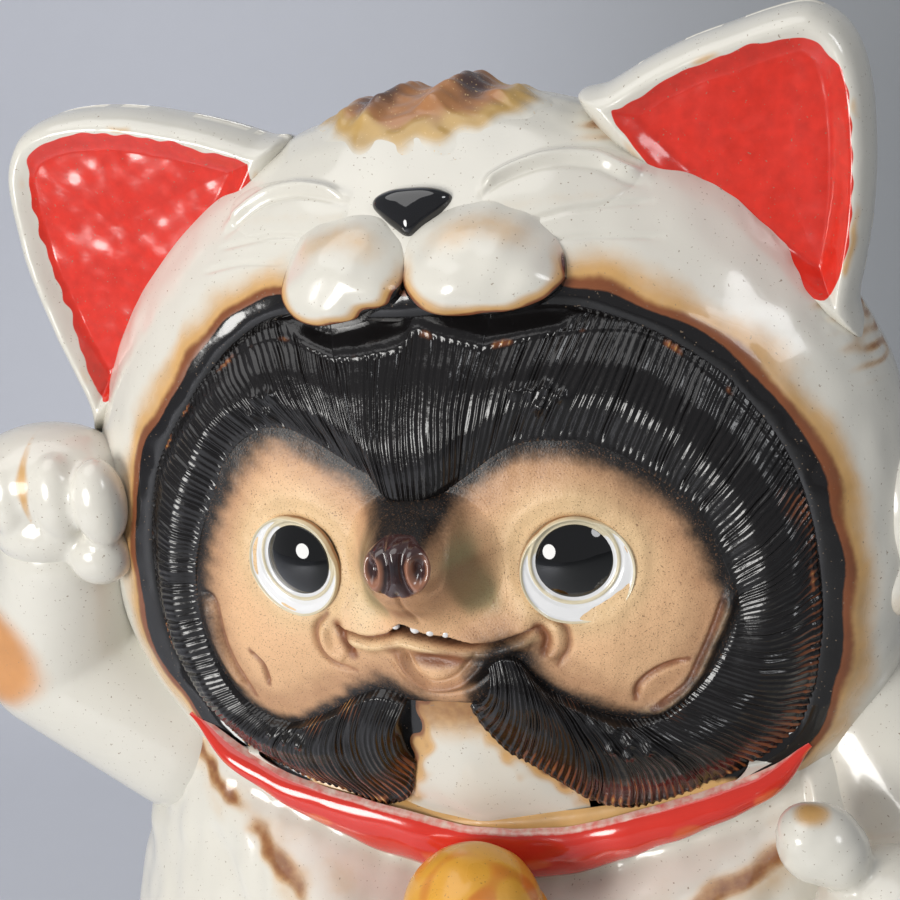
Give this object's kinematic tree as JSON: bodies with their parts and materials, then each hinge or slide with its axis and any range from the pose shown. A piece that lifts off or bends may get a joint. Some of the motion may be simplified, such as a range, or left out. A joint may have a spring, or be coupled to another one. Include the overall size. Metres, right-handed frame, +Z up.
{
  "type": "tanuki statue",
  "caption": "Glazed pottery raccoon dog standing in a white cat-shaped hood, one paw raised, with a red collar and a yellow bell.",
  "frame": {"origin": "on the flat rest face, under the middle of the head", "axes": "+Z up, the statue faces -Y, +X is its own left side"},
  "size_m": [0.2676, 0.2368, 0.4111],
  "materials": {
    "white_glaze": "glossy cream-white glaze with amber stains where it runs thin",
    "tan_bisque": "matt speckled tan clay with sprayed dark shading",
    "black_fur_glaze": "glossy black glaze, rust brown where it breaks over the combed ridges",
    "black_nose_glaze": "glossy black glaze",
    "eye_glaze": "mirror-glossy black glaze dome",
    "bright_white_glaze": "glossy white glaze",
    "red_glaze": "glossy brushed red glaze",
    "yellow_glaze": "glossy ochre-yellow glaze",
    "amber_glaze": "glossy amber glaze shading to dark brown",
    "bare_clay": "unglazed fired clay"
  },
  "bodies": {
    "root": {"arm_left": "white_glaze", "arm_right": "white_glaze", "base_slab": "bare_clay", "bell": "yellow_glaze", "body_back": "white_glaze", "body_front": "white_glaze", "cat_closed_eye_left": "white_glaze", "cat_closed_eye_right": "white_glaze", "cat_nose": "black_nose_glaze", "cat_pad_left": "white_glaze", "cat_pad_right": "white_glaze", "chin_tuft_left": "black_fur_glaze", "chin_tuft_right": "black_fur_glaze", "collar": "red_glaze", "crown_tuft": "amber_glaze", "ear_left": "white_glaze", "ear_right": "white_glaze", "eye_left": "eye_glaze", "eye_right": "eye_glaze", "eye_white_left": "bright_white_glaze", "eye_white_right": "bright_white_glaze", "face_plate": "tan_bisque", "foot_left": "white_glaze", "foot_right": "white_glaze", "forelock": "black_fur_glaze", "fur_roll_left": "black_fur_glaze", "fur_roll_right": "black_fur_glaze", "hood_back": "white_glaze", "hood_front": "white_glaze", "hood_side_fold": "white_glaze", "lower_jaw": "tan_bisque", "nose": "black_nose_glaze", "paw_left": "white_glaze", "paw_right": "white_glaze", "snout": "tan_bisque", "tail": "white_glaze", "teeth": "bright_white_glaze", "throat": "white_glaze"}
  },
  "joints": []
}
